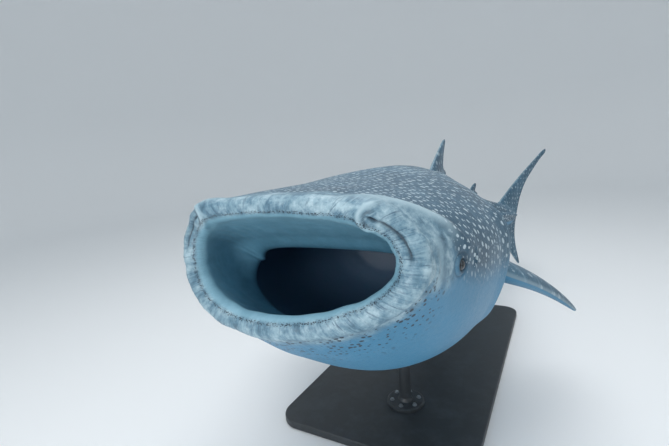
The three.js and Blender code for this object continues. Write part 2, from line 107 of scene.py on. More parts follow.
# Lips, from their outer side at turn 0 to their inner side at turn 1
LIP_DEPTH = 0.0075
LOBE = {"angle": 50, "reach": 26, "swell": 0.0038, "fade": 0.035}
TEETH = {"turn": 0.665, "width": 0.045}
GROOVE = {"turn": 0.47, "width": 0.09, "from": 3, "to": 44, "depth": 0.0022}
CORNER_BACK = 0.008
JAW_FORWARD = 0.013
RIM_FADE = 0.08

# Ridges along the flanks, the edge of the head, the keels of the tail and the gill flaps
RIDGES = [
    {"angle": 60, "from": 0.15, "to": 0.72, "height": 0.0018},
    {"angle": 37.5, "from": 0.19, "to": 0.76, "height": 0.0022},
    {"angle": 7.5, "from": 0.27, "to": 0.85, "height": 0.0028},
]
RIDGE_WIDTH = 7.5
HEAD_EDGE = {"from": 66, "to": 9, "last": 0.05, "width": 15, "height": 0.0026}
KEEL = {"from": 0.7, "full": 0.8, "height": 0.0085}
GILLS = {"first": 0.136, "pitch": 0.0135, "count": 5, "step": 0.0014}
GILL_FLAP = {"height": 0.0032, "low": -42, "high": 34, "fade": 14}

# Small forms of the head: places as above, sizes and depths in metres. An eye's opening is shaped by
# how fast the distance from its middle grows to the side, along and up.
EYE_NODES = {1: "eye_left", -1: "eye_right"}
EYE_OPENING = [0.6, 0.92, 1.12]
EYE = {"radius": 0.026, "proud": 0.009, "room": 0.0012, "socket": 0.022, "lid": 0.008, "fold": 0.0035}
SPIRACLE = {"s": 0.066, "v": -0.001, "size": [0.06, 0.010, 0.024], "depth": 0.016, "rim": 0.0035}
NOSTRIL = {"angle": 44, "turn": 0.5, "slant": 32, "size": [0.024, 0.03, 0.008], "depth": 0.014}
NOSTRIL_FLAP = {"radius": 0.046, "rise": 0.011}
SLIT = {"part": 0.09, "share": 0.75, "depth": 0.014}

# Folds round each corner of the mouth: radius, width and depth in metres
CORNER_FOLDS = [[0.055, 0.007, 0.004], [0.085, 0.008, 0.0035], [0.12, 0.01, 0.0028]]

# Furrows across the lips, slack folds behind them and folds of the palate: how many would fit
# round the mouth, and their height in metres
FURROWS = {"counts": [61, 97, 143, 187], "height": 0.00028}
SLACK_FOLDS = {"counts": [11, 17, 23], "height": 0.001}
PALATE_FOLDS = {"count": 34, "height": 0.0012}

# Fins of the midline: rows are share of the height, leading and trailing share, thickness. around is
# how far round the body from the middle of the back the fin's pattern starts, in metres.
FIRST_DORSAL = {
    "base": 0.055,
    "height": 0.086,
    "around": 0.02,
    "rows": [
        [0, 0.425, 0.535, 0.024],
        [0.22, 0.441, 0.535, 0.0125],
        [0.34, 0.455, 0.543, 0.0105],
        [0.42, 0.464, 0.529, 0.0095],
        [0.6, 0.485, 0.529, 0.007],
        [0.8, 0.508, 0.534, 0.0045],
        [0.94, 0.524, 0.539, 0.0028],
        [1, 0.534, 0.539, 0.0014],
    ],
}
SECOND_DORSAL = {
    "base": 0.032,
    "height": 0.04,
    "around": 0.02,
    "rows": [
        [0, 0.648, 0.696, 0.014],
        [0.3, 0.656, 0.697, 0.007],
        [0.48, 0.663, 0.707, 0.0055],
        [0.6, 0.669, 0.696, 0.0045],
        [0.85, 0.682, 0.7, 0.0028],
        [1, 0.694, 0.7, 0.0014],
    ],
}
ANAL = {
    "base": -0.024,
    "height": -0.042,
    "around": 1.1,
    "rows": [
        [0, 0.662, 0.705, 0.013],
        [0.3, 0.67, 0.706, 0.0065],
        [0.5, 0.678, 0.715, 0.005],
        [0.66, 0.685, 0.704, 0.004],
        [0.88, 0.697, 0.709, 0.0026],
        [1, 0.706, 0.71, 0.0014],
    ],
}
TAIL_UPPER = {
    "base": 0,
    "height": 0.163,
    "around": 0.02,
    "rows": [
        [0, 0.785, 0.872, 0.019],
        [0.16, 0.797, 0.88, 0.0125],
        [0.3, 0.826, 0.889, 0.01],
        [0.5, 0.869, 0.909, 0.0075],
        [0.7, 0.913, 0.939, 0.0055],
        [0.84, 0.944, 0.962, 0.004],
        [0.94, 0.965, 0.981, 0.0028],
        [1, 0.98, 0.986, 0.0014],
    ],
}
TAIL_LOWER = {
    "base": 0,
    "height": -0.112,
    "around": 1.1,
    "rows": [
        [0, 0.785, 0.872, 0.019],
        [0.2, 0.797, 0.868, 0.012],
        [0.42, 0.82, 0.868, 0.009],
        [0.65, 0.844, 0.874, 0.0065],
        [0.86, 0.866, 0.883, 0.004],
        [1, 0.883, 0.888, 0.0014],
    ],
}

# Paired fins: root of the span (u, v), length of the span, droop in degrees at the root and the tip
PECTORAL = {
    "u": 0.066,
    "v": -0.024,
    "span": 0.142,
    "around": 1.0,
    "droop": [13, 31],
    "rows": [
        [0, 0.198, 0.285, 0.032],
        [0.3, 0.212, 0.29, 0.021],
        [0.42, 0.228, 0.305, 0.018],
        [0.58, 0.259, 0.319, 0.0145],
        [0.74, 0.292, 0.336, 0.011],
        [0.88, 0.322, 0.353, 0.0075],
        [0.97, 0.344, 0.363, 0.0042],
        [1, 0.354, 0.363, 0.0018],
    ],
}
PELVIC = {
    "u": 0.026,
    "v": -0.036,
    "span": 0.062,
    "around": 0.75,
    "droop": [42, 34],
    "rows": [
        [0, 0.505, 0.552, 0.014],
        [0.35, 0.512, 0.555, 0.0085],
        [0.55, 0.522, 0.567, 0.0062],
        [0.75, 0.535, 0.565, 0.0045],
        [0.92, 0.549, 0.567, 0.003],
        [1, 0.558, 0.567, 0.0015],
    ],
}

# Half of a fin's section, as shares of its chord and of its half thickness, and the least thickness
# of a fin in metres
FOIL = [[0, 0], [0.05, 0.5], [0.16, 0.85], [0.36, 1], [0.62, 0.75], [0.86, 0.36], [1, 0.14]]
LEAST_EDGE = 0.007

# Fineness of the skin: columns round the body and how they crowd towards its sides, and stretches of
# rings as from, to and how many
COLUMNS = 480
SIDE_CROWDING = 0.15
OUTER_RINGS = [[TAIL_END, 0.21, 320], [0.2085, 0.128, 150], [0.1275, LIP_DEPTH, 190]]
LIP_RINGS = 44
LINING_RINGS = [[0.0085, 0.058, 70], [0.0588, 0.07, 22], [0.073, 0.19, 60]]

# Fineness of a fin: rows and how they crowd towards the tip, the share of the span from which the
# tip is rounded, and points on one side of a row
FIN_ROWS = 90
TIP_CROWDING = 1.25
TIP_ROUND = 0.965
FOIL_POINTS = 50

# Fillets at the roots of the fins: how far they reach in metres, how often the skin is relaxed there
# and how far each time
ROOT_REACH = 0.075
RELAXINGS = 30
RELAX_SHARE = 0.6

# Spacing of the spots in metres along the body, and the line where the dark back ends, in degrees
# above the widest line of the body
SPOT_SPACING = [
    [0, 0.034],
    [0.05, 0.037],
    [0.12, 0.052],
    [0.2, 0.074],
    [0.35, 0.105],
    [0.6, 0.105],
    [0.85, 0.08],
]
BACK_EDGE = [
    [0, 26],
    [0.03, 12],
    [0.045, -2],
    [0.08, -5],
    [0.13, -6],
    [0.2, -8],
    [0.3, -12],
    [0.45, -18],
    [0.6, -22],
    [0.86, -30],
]


def along(table, column, s):
    """Smooth value of a column of a table at s, by a cubic through its rows."""
    rows = np.asarray(table, float)
    x, y = rows[:, 0], rows[:, column]
    s = np.clip(s, x[0], x[-1])
    i = np.clip(np.searchsorted(x, s, side="right") - 1, 0, len(x) - 2)
    slopes = np.empty(len(x))
    slopes[1:-1] = (y[2:] - y[:-2]) / (x[2:] - x[:-2])
    slopes[0] = (y[1] - y[0]) / (x[1] - x[0])
    slopes[-1] = (y[-1] - y[-2]) / (x[-1] - x[-2])
    width = x[i + 1] - x[i]
    t = (s - x[i]) / width
    rise = t * t * (3 - 2 * t)
    bend = slopes[i] * width * t * (1 - t) ** 2 - slopes[i + 1] * width * t * t * (1 - t)
    return y[i] * (1 - rise) + y[i + 1] * rise + bend


def smoothstep(x, low, high):
    """Rises smoothly from 0 at low to 1 at high."""
    t = np.clip((np.asarray(x, float) - low) / (high - low), 0, 1)
    return t * t * (3 - 2 * t)


def hump(x, centre, width):
    """Bell curve that is 1 at its centre."""
    return np.exp(-(((x - centre) / width) ** 2))


def power(x, p):
    """A power that keeps the sign of x."""
    return np.sign(x) * np.abs(x) ** p


SPINE_STEPS = 500
spine = np.zeros((SPINE_STEPS + 1, 4))
for step in range(SPINE_STEPS + 1):
    heading = math.radians(float(along(HEADING, 1, step / SPINE_STEPS)))
    spine[step, 0] = step / SPINE_STEPS
    spine[step, 3] = heading
    if step < SPINE_STEPS:
        spine[step + 1, 1] = spine[step, 1] + math.sin(heading) * LENGTH / SPINE_STEPS
        spine[step + 1, 2] = spine[step, 2] + math.cos(heading) * LENGTH / SPINE_STEPS
base_x = float(along(spine, 1, BASE_SHARE))
base_y = float(along(spine, 2, BASE_SHARE))


def pitched(x, y, v):
    """Turns a direction or place of the level animal to its raised pose."""
    cos, sin = math.cos(PITCH), math.sin(PITCH)
    return np.stack([x, y * cos + v * sin, -y * sin + v * cos], -1)


def place(s, u, v):
    """Points (s, u, v) of the bent and pitched animal."""
    heading = along(spine, 3, s)
    x = along(spine, 1, s) + u * np.cos(heading) - base_x
    y = along(spine, 2, s) + np.minimum(s, 0) * LENGTH - u * np.sin(heading)
    moved = [0, -base_y * math.cos(PITCH), SPINE_HEIGHT]
    return pitched(x, y, v + 0 * x) + moved


def section(table, s, angle):
    """Place (u, v) on the rounded section at s of the body or the lining, at an angle round it."""
    above = np.sin(angle) >= 0
    p = 2 / np.where(above, along(table, 4, s), along(table, 5, s))
    height = np.where(above, along(table, 2, s), along(table, 3, s)) * LENGTH
    drop = along(table, 6, s) * LENGTH if table is LINING else 0
    u = along(table, 1, s) * LENGTH * power(np.cos(angle), p)
    return u, height * power(np.sin(angle), p) - drop


def side_degrees(angle):
    """Height round the section, from -90 under the belly to 90 on the back, alike on both sides."""
    return np.degrees(np.arcsin(np.clip(np.sin(angle), -1, 1)))


def edge_degrees(s):
    """Where the edge of the head lies, from the front of the lip back to above the eye."""
    fall = HEAD_EDGE["to"] - HEAD_EDGE["from"]
    return HEAD_EDGE["from"] + fall * np.clip(s / HEAD_EDGE["last"], 0, 1)


def head_edge(s, angle):
    """How near a point is to the raised edge of the head, from 0 to 1."""
    crest = smoothstep(1 - np.abs(side_degrees(angle) - edge_degrees(s)) / HEAD_EDGE["width"], 0, 1)
    return crest * (1 - smoothstep(s, HEAD_EDGE["last"], HEAD_EDGE["last"] + 0.03))


def lobe(angle):
    """How near an angle is to the swelling of the upper lip, from 0 to 1."""
    return smoothstep(1 - np.abs(side_degrees(angle) - LOBE["angle"]) / LOBE["reach"], 0, 1)


def gill_reach(angle):
    """How far the gill flaps stand open at an angle, from 0 to 1."""
    side = side_degrees(angle)
    low, high, fade = GILL_FLAP["low"], GILL_FLAP["high"], GILL_FLAP["fade"]
    return smoothstep(side, low, low + fade) * (1 - smoothstep(side, high - fade, high))


def gill_part(s):
    """Number of the gill flap at s, and how far through the flap s lies."""
    row = (s - GILLS["first"]) / GILLS["pitch"] + 1
    return row, row - np.floor(row)


def relief(s, angle):
    """How far ridges, keel, lobes and gill flaps stand out of the body."""
    side = side_degrees(angle)
    out = HEAD_EDGE["height"] * head_edge(s, angle)
    out = out + LOBE["swell"] * lobe(angle) * (1 - smoothstep(s, 0, LOBE["fade"]))
    for ridge in RIDGES:
        near = smoothstep(1 - np.abs(side - ridge["angle"]) / RIDGE_WIDTH, 0, 1)
        begins = smoothstep(s, ridge["from"], ridge["from"] + 0.08)
        ends = 1 - smoothstep(s, ridge["to"] - 0.06, ridge["to"])
        out = out + ridge["height"] * near * (begins * ends)
    keel = smoothstep(1 - np.abs(side - RIDGES[2]["angle"]) / (2 * RIDGE_WIDTH), 0, 1)
    begins = smoothstep(s, KEEL["from"], KEEL["full"])
    out = out + KEEL["height"] * keel * begins * (1 - smoothstep(s, 0.83, TAIL_END))
    row, part = gill_part(s)
    drop = GILLS["step"] / GILLS["pitch"]
    saw = np.where((row > 1) & (part < drop), 1 - part / drop, part**1.5)
    inside = (row > 0) & (row < GILLS["count"] + drop)
    out = out + GILL_FLAP["height"] * np.where(inside, saw, 0) * gill_reach(angle)
    return out * LENGTH


def body_section(s, angle):
    """Place (u, v) on the outer skin at s, with its relief."""
    u, v = section(BODY, s, angle)
    stretch = 1 + relief(s, angle) / np.hypot(u, v)
    return u * stretch, v * stretch


def rim_shift(s, angle):
    """The mouth's corners lie back and the lower lip reaches forward."""
    back = CORNER_BACK * np.cos(angle) ** 2
    forward = np.where(np.sin(angle) < 0, JAW_FORWARD * np.sin(angle) ** 2, 0)
    return (back - forward) * (1 - smoothstep(s, 0, RIM_FADE))


def lip_point(turn, angle):
    """Place (s, u, v) on the rounded lip."""
    side = side_degrees(angle)
    outer_u, outer_v = body_section(LIP_DEPTH, angle)
    inner_u, inner_v = section(LINING, LIP_DEPTH, angle)
    mix = (1 - np.cos(np.pi * turn)) / 2
    begin, end = GROOVE["from"], GROOVE["to"]
    along_groove = smoothstep(side, begin - 3, begin + 6) * (1 - smoothstep(side, end - 6, end))
    across_groove = smoothstep(1 - np.abs(turn - GROOVE["turn"]) / GROOVE["width"], 0, 1)
    depth = (LIP_DEPTH + LOBE["swell"] * lobe(angle)) * np.sin(np.pi * turn)
    depth = depth - GROOVE["depth"] * along_groove * across_groove
    s = LIP_DEPTH - depth + rim_shift(LIP_DEPTH, angle)
    return s, outer_u + (inner_u - outer_u) * mix, outer_v + (inner_v - outer_v) * mix


def throat_folds(s, angle):
    """Share by which the upper corners of the throat's rim are drawn in."""
    degrees = np.degrees(angle)
    corners = sum(inward * hump(degrees, centre, width) for centre, width, inward in THROAT_FOLDS)
    return corners * hump(s, THROAT_RIM["s"], THROAT_RIM["width"])


def half_width(s, v):
    """Half width of the body at a height v above the spine."""
    rows = np.radians(np.linspace(-89, 89, 713))
    widths, heights = section(BODY, s, rows)
    return float(np.interp(v, heights, widths))


def tube(points, values):
    """A closed tube from a grid of points: its vertices, its triangles facing out, its values."""
    count, columns = points.shape[:2]
    hubs = [points[0].mean(0)[None], points[-1].mean(0)[None]]
    vertices = np.concatenate([points.reshape(-1, 3), *hubs])
    spread = {}
    for name, value in values.items():
        value = np.broadcast_to(value, (count, columns))
        spread[name] = np.concatenate([value.ravel(), [value[0].mean()], [value[-1].mean()]])
    i, j = np.meshgrid(np.arange(count - 1), np.arange(columns), indexing="ij")
    k = (j + 1) % columns
    a, b = i * columns + j, i * columns + k
    c, d = (i + 1) * columns + k, (i + 1) * columns + j
    j, k = np.arange(columns), (np.arange(columns) + 1) % columns
    last = (count - 1) * columns
    start_hub, end_hub = np.full(columns, count * columns), np.full(columns, count * columns + 1)
    faces = np.concatenate(
        [
            np.stack([a, b, c], -1).reshape(-1, 3),
            np.stack([a, c, d], -1).reshape(-1, 3),
            np.stack([k, j, start_hub], -1),
            np.stack([last + j, last + k, end_hub], -1),
        ]
    )
    corners = vertices[faces]
    volume = np.einsum("ij,ij->i", corners[:, 0], np.cross(corners[:, 1], corners[:, 2])).sum()
    return vertices, faces if volume > 0 else faces[:, ::-1], spread


def mesh_object(name, vertices, faces):
    """A smooth mesh object from arrays of points and of faces with equal numbers of corners."""
    mesh = bpy.data.meshes.new(name)
    sides = faces.shape[1]
    mesh.vertices.add(len(vertices))
    mesh.vertices.foreach_set("co", vertices.astype(np.float32).ravel())
    mesh.loops.add(faces.size)
    mesh.loops.foreach_set("vertex_index", np.ascontiguousarray(faces).astype(np.int32).ravel())
    mesh.polygons.add(len(faces))
    mesh.polygons.foreach_set("loop_start", np.arange(0, faces.size, sides, dtype=np.int32))
    mesh.update(calc_edges=True)
    mesh.shade_smooth()
    made = bpy.data.objects.new(name, mesh)
    bpy.context.scene.collection.objects.link(made)
    return made


def set_values(mesh, values):
    """Gives each point of a mesh its values, one attribute to a name."""
    for name, value in values.items():
        layer = mesh.attributes.new(name, "FLOAT", "POINT")
        layer.data.foreach_set("value", np.asarray(value, np.float32).ravel())


# Skin of the body, lips, mouth and pharynx as one grid of rings and columns
column_turn = np.arange(COLUMNS) * 2 * np.pi / COLUMNS
column_angle = column_turn - SIDE_CROWDING * np.sin(2 * column_turn)
outer_rings = np.concatenate([np.linspace(*stretch) for stretch in OUTER_RINGS])
lip_turns = np.linspace(0, 1, LIP_RINGS + 2)[1:-1]
lining_rings = np.concatenate([np.linspace(*stretch) for stretch in LINING_RINGS])
rings = []
for s in outer_rings:
    rings.append((s + rim_shift(s, column_angle), *body_section(s, column_angle)))
for turn in lip_turns:
    rings.append(lip_point(turn, column_angle))
for s in lining_rings:
    u, v = section(LINING, s, column_angle)
    inward = 1 - throat_folds(s, column_angle)
    drop = THROAT_RIM["drop"]
    rings.append((s + rim_shift(s, column_angle), u * inward, (v + drop) * inward - drop))
points = place(*(np.array([ring[i] for ring in rings]) for i in range(3)))

# For each point of the grid: its share of the length, its turn round the lip, how deep in the mouth
# it lies, whether it is on the outside, and its angle and height round the section
outer_count, lip_count, lining_count = len(outer_rings), len(lip_turns), len(lining_rings)
ring_shape = (len(rings), COLUMNS)
share = np.concatenate([outer_rings, np.full(lip_count, LIP_DEPTH), lining_rings])
share = np.broadcast_to(share[:, None], ring_shape)
turn = np.concatenate([np.zeros(outer_count), lip_turns, np.ones(lining_count)])
turn = np.broadcast_to(turn[:, None], ring_shape)
depth = np.concatenate([np.zeros(outer_count + lip_count), lining_rings])
depth = np.broadcast_to(depth[:, None], ring_shape)
outside = np.broadcast_to((np.arange(len(rings)) < outer_count)[:, None], ring_shape)
angle = np.broadcast_to(column_angle[None, :], ring_shape)
side = side_degrees(angle)

across = np.roll(points, -1, axis=1) - np.roll(points, 1, axis=1)
normals = np.cross(across, np.gradient(points, axis=0))
normals /= np.maximum(np.linalg.norm(normals, axis=2, keepdims=True), 1e-12)
TAIL_RING = 100
outward = points[TAIL_RING] - points[TAIL_RING].mean(0)
if (normals[TAIL_RING] * outward).sum() < 0:
    normals = -normals

raised = np.zeros(ring_shape)
crease = np.zeros(ring_shape)
flap_light = np.zeros(ring_shape)
rng = np.random.default_rng(7)


def node_centre(name):
    low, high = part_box(name)
    return (Vector(low) + Vector(high)) / 2


# The four forms below give how far the skin is raised, the shade painted into its pits and creases and
# the highlight painted onto its folds. sign is 1 on the shark's left.
def eye_socket(sign):
    """Socket of an eye, the lid round it and a fold round the lid, at shares of the eye's radius."""
    radius = EYE["radius"]
    opening = np.array(node_centre(EYE_NODES[sign])) + [sign * (radius - EYE["proud"]), 0, 0]
    away = np.linalg.norm((points - opening) * EYE_OPENING, axis=2)
    socket = 1 - smoothstep(away, radius * 0.66, radius * 0.98)
    fold = radius * 1.9
    rise = EYE["lid"] * hump(away, radius * 1.22, 0.0075) - EYE["socket"] * socket
    rise = rise - EYE["fold"] * hump(away, fold, 0.006)
    # Painted shade in the socket, round the lid and in the fold round it
    painted_shade = socket + 0.35 * hump(away, fold, 0.005) + 0.6 * hump(away, radius * 1.1, 0.011)
    return outside * rise, outside * painted_shade, 0


def spiracle(sign):
    """Slot behind the eye, with a low rim."""
    s, v = SPIRACLE["s"], SPIRACLE["v"] * LENGTH
    middle = place(s, sign * half_width(s, v), v)
    away = np.linalg.norm((points - middle) / SPIRACLE["size"], axis=2)
    rise = SPIRACLE["rim"] * hump(away, 1.6, 0.45)
    rise = rise - SPIRACLE["depth"] * (1 - smoothstep(away, 0.3, 1.1))
    # Painted shade in the slot
    return outside * rise, outside * (1 - smoothstep(away, 0.3, 1.05)), 0


def nostril(sign):
    """Slanting nostril in the front of the upper lip, and the flap beside it."""
    s, u, v = lip_point(NOSTRIL["turn"], math.radians(NOSTRIL["angle"]))
    offset = points - place(s, sign * u, v)
    outward, back, upward = sign * offset[..., 0], offset[..., 1], offset[..., 2]
    slant = math.radians(NOSTRIL["slant"])
    long_way = outward * math.cos(slant) - upward * math.sin(slant)
    short_way = outward * math.sin(slant) + upward * math.cos(slant)
    length, depth_back, width = NOSTRIL["size"]
    away = np.sqrt((long_way / length) ** 2 + (short_way / width) ** 2 + (back / depth_back) ** 2)
    pit = 1 - smoothstep(away, 0.3, 1.1)
    away = np.linalg.norm(offset * [1.0, 0.6, 1.0], axis=2)
    front_face = smoothstep(turn, 0.02, 0.12) * (1 - smoothstep(turn, 0.8, 0.95))
    flap = smoothstep(-outward + 0.25 * upward, -0.012, 0.02) * front_face
    rise = NOSTRIL_FLAP["rise"] * flap * hump(away, NOSTRIL_FLAP["radius"], 0.013)
    # Painted shade in the pit and along the flap's edge, and a painted highlight on the flap
    painted_shade = pit + 0.6 * flap * hump(away, 0.028, 0.005)
    return rise - NOSTRIL["depth"] * pit, painted_shade, flap * hump(away, NOSTRIL_FLAP["radius"], 0.009)


def corner_folds(sign):
    """Shallow folds in the skin round a corner of the mouth."""
    corner = place(*lip_point(0.35, 0.0 if sign > 0 else math.pi))
    away = np.linalg.norm(points - corner, axis=2)
    sunk = sum(deep * hump(away, radius, width) for radius, width, deep in CORNER_FOLDS)
    return -sunk * outside * smoothstep(32 - np.abs(side), 0, 14), 0, 0


for sign in (1, -1):
    for rise, painted_shade, painted_highlight in (eye_socket(sign), spiracle(sign), nostril(sign), corner_folds(sign)):
        raised += rise
        crease += painted_shade
        flap_light += painted_highlight

# Fine furrows across the lips, slack folds behind them and faint folds of the palate
on_lip = smoothstep(turn, 0.02, 0.15) * (1 - smoothstep(turn, 0.85, 1.0))
on_lip = np.maximum(on_lip, (1 - smoothstep(share, LIP_DEPTH, 0.02)) * outside)
for count in FURROWS["counts"]:
    wander = 1.5 * np.sin(angle * 5 + rng.uniform(0, 6.28))
    raised += FURROWS["height"] * on_lip * np.sin(angle * count + wander + rng.uniform(0, 6.28))
slack = (1 - smoothstep(share, 0.02, 0.08)) * (depth < 0.02)
for count in SLACK_FOLDS["counts"]:
    wave = np.sin(angle * count + share * 60 + rng.uniform(0, 6.28))
    raised += SLACK_FOLDS["height"] * slack * wave
palate = smoothstep(depth, 0.014, 0.024) * (1 - smoothstep(depth, 0.048, 0.06))
wave = np.sin(angle * PALATE_FOLDS["count"] + 2 * np.sin(angle * 3))
raised += PALATE_FOLDS["height"] * palate * wave

# Painted shade in the upper lip's groove and in the gill slits in front of the flaps, which are also
# sunk into the skin
groove = smoothstep(1 - np.abs(turn - GROOVE["turn"]) / (GROOVE["width"] * 0.5), 0, 1)
groove = groove * smoothstep(side, GROOVE["from"] - 3, GROOVE["from"] + 6)
crease += groove * (1 - smoothstep(side, GROOVE["to"] - 6, GROOVE["to"]))
row, part = gill_part(share)
from_slit = np.minimum(np.abs(part - SLIT["part"]), 1 - np.abs(part - SLIT["part"]))
slits = outside * (row > 0.8) * (row < GILLS["count"] + 0.4) * gill_reach(angle) * SLIT["share"]
crease += slits * (1 - smoothstep(from_slit, 0.03, 0.1))
raised -= SLIT["depth"] * slits * (1 - smoothstep(from_slit, 0.02, 0.09))
points = points + normals * raised[..., None]

# Distance round the body from the middle of the back, positive on the shark's left
step_across = np.linalg.norm(np.roll(points, -1, axis=1) - points, axis=2)
around = np.zeros(ring_shape)
TOP = COLUMNS // 4
for shift in range(1, COLUMNS // 2 + 1):
    left = (TOP - shift) % COLUMNS
    around[:, left] = around[:, (left + 1) % COLUMNS] + step_across[:, left]
for shift in range(1, COLUMNS // 2):
    right = (TOP + shift) % COLUMNS
    around[:, right] = around[:, right - 1] - step_across[:, right - 1]

SPACING_STEPS = 400
spacing_steps = np.linspace(0, 1, SPACING_STEPS)
spacing = along(SPOT_SPACING, 1, spacing_steps)
cells_before = np.concatenate([[0], np.cumsum(LENGTH / (SPACING_STEPS - 1) / spacing[1:])])


def spot_cells(s, distance_around):
    """Place of a point in cells of the pattern, with one spot to a cell."""
    cell_size = np.interp(s, spacing_steps, spacing)
    return np.interp(s, spacing_steps, cells_before), distance_around / cell_size


# Where the pattern's parts lie on the body and lips
cell_along, cell_around = spot_cells(share, around)
back_edge = along(BACK_EDGE, 1, share)
below_crest = 1 - smoothstep(side, edge_degrees(share) - 12, edge_degrees(share) + 2)
below_crest = below_crest * (1 - smoothstep(share, 0.026, 0.043)) * smoothstep(side, -20, -4)
lip_face = np.maximum(smoothstep(turn, 0, 0.12), below_crest)
lip_face = np.maximum(lip_face, (1 - smoothstep(share, LIP_DEPTH, 0.017)) * outside)
# A painted highlight along the raised edge of the head, and a painted highlight streak beside each
# corner of the mouth
painted_crest_highlight = head_edge(share, angle) * (side > 0) * (1 - smoothstep(turn, 0, 0.35)) * (depth == 0)
painted_crest_highlight = 1.3 * painted_crest_highlight * (1 - smoothstep(share, 0.024, 0.046))
beside_lip = smoothstep(side, -20, -8) * (1 - smoothstep(side, 16, 28)) * outside
painted_crest_highlight = painted_crest_highlight + 0.8 * beside_lip * hump(share, 0.017, 0.0035)
lined = smoothstep(turn, 0.66, 0.78)
pale = 1 - smoothstep(side, back_edge - 9, back_edge + 7)
pale_deep = 1 - smoothstep(side, back_edge - 55, back_edge - 12)
under_lip = (1 - smoothstep(side, -30, 6)) * (1 - smoothstep(share, 0.012, 0.05)) * outside
# A dark line along the row of teeth
crease += 0.3 * hump(turn, TEETH["turn"], 0.018)
solids = [
    tube(
        points,
        {
            "cell_along": cell_along,
            "cell_around": cell_around,
            "spotted": outside * (1 - pale) * (1 - np.clip(lip_face - 0.3 * painted_crest_highlight, 0, 1)),
            "pale": 0.65 * pale + 0.35 * pale_deep,
            "lip_face": lip_face,
            # Painted highlight along the edge of the head
            "crest": np.clip(painted_crest_highlight, 0, 1),
            # Painted highlight on the nostril flaps and along the edge of the head
            "bright_fold": np.clip(flap_light + 0.55 * painted_crest_highlight, 0, 1),
            "teeth": np.clip(1.2 * hump(turn, TEETH["turn"], TEETH["width"]), 0, 1),
            "lined": lined,
            "depth": depth,
            # Painted shade in pits, creases and slits, with the dark line of the teeth
            "crease": np.clip(crease, 0, 1),
            "speckled": np.clip(1.4 * under_lip, 0, 1),
            "lip_x": np.cos(angle),
            "lip_y": np.sin(angle),
            "furrowed": smoothstep(turn, 0.01, 0.2) * (1 - lined) + 0.25 * outside * (share < 0.02),
            "turn": turn + (1 - outside),
        },
    )
]


def fin_tube(fin, path, around_at, pale_below):
    """A fin. Its root starts inside the body, and its spots go on from those of the body. path gives
    the middle of the fin and the way that it is thick, at shares of its span."""
    t = 1 - (1 - np.linspace(0, 1, FIN_ROWS)) ** TIP_CROWDING
    chord = (1 - np.cos(np.linspace(0, np.pi, FOIL_POINTS))) / 2
    half = along([[math.sqrt(c), h] for c, h in FOIL], 1, np.sqrt(chord))
    lead, trail, thick = (along(fin["rows"], column, t)[:, None] for column in (1, 2, 3))
    round_tip = np.sqrt(np.clip(1 - smoothstep(t, TIP_ROUND, 1.0) ** 2, 0.02, 1))[:, None]
    middle, reach = (lead + trail) / 2, (trail - lead) / 2 * round_tip
    u, v, du, dv = path(t[:, None])
    h = np.maximum(thick * LENGTH * half / 2, np.where((chord > 0) & (chord < 1), LEAST_EDGE / 2, 0))
    s = middle + reach * (2 * chord - 1)
    columns = np.concatenate([np.arange(FOIL_POINTS), np.arange(FOIL_POINTS - 2, 0, -1)])
    facing = np.concatenate([np.ones(FOIL_POINTS), -np.ones(FOIL_POINTS - 2)])
    s, h = s[:, columns], h[:, columns] * facing
    span = np.broadcast_to(t[:, None] * abs(fin.get("height", fin.get("span"))) * LENGTH, s.shape)
    cells = spot_cells(s, around_at(span, facing))
    below = np.broadcast_to((facing < 0) * pale_below, s.shape)
    behind = (trail - s) * LENGTH
    values = {
        "cell_along": cells[0],
        "cell_around": cells[1],
        "spotted": (1 - below) * smoothstep(behind, 0.012, 0.03),
        "pale": below * 0.7,
        # A painted highlight along the leading edge, and a darker trailing edge
        "crest": 0.5 * hump((s - lead) * LENGTH, 0, 0.012) * (1 - below),
        "crease": 0.55 * (1 - smoothstep(behind, 0.004, 0.014)),
        "fin": 1.0,
    }
    return tube(place(s, u + h * du, v + h * dv), values)


# Fins of the midline, then the paired ones
for fin in (FIRST_DORSAL, SECOND_DORSAL, ANAL, TAIL_UPPER, TAIL_LOWER):

    def upright(t, fin=fin):
        return 0 * t, (fin["base"] + fin["height"] * t) * LENGTH, 1 + 0 * t, 0 * t

    def on_both_sides(span, facing, fin=fin):
        return facing * (fin["around"] + span)

    solids.append(fin_tube(fin, upright, on_both_sides, 0))

for fin in (PECTORAL, PELVIC):
    for sign in (1, -1):

        def outstretched(t, fin=fin, sign=sign):
            droop = np.radians(fin["droop"][0] + (fin["droop"][1] - fin["droop"][0]) * t)
            reach = fin["span"] * t
            u = sign * (fin["u"] + reach * np.cos(droop)) * LENGTH
            v = (fin["v"] - reach * np.sin(droop)) * LENGTH
            return u, v, sign * np.sin(droop), np.cos(droop)

        def on_one_side(span, facing, fin=fin, sign=sign):
            return sign * (fin["around"] + span)

        solids.append(fin_tube(fin, outstretched, on_one_side, 1))

# One closed skin from the body and its fins
skin = mesh_object("whale_shark_skin", *solids[0][:2])
fins = [mesh_object(f"fin_{number}", *solid[:2]) for number, solid in enumerate(solids[1:])]
for fin in fins:
    union = skin.modifiers.new("union", "BOOLEAN")
    union.operation = "UNION"
    union.solver = "MANIFOLD"
    union.object = fin
graph = bpy.context.evaluated_depsgraph_get()
joined = bpy.data.meshes.new_from_object(skin.evaluated_get(graph))
skin.modifiers.clear()
skin.data = joined
for fin in fins:
    bpy.data.objects.remove(fin)

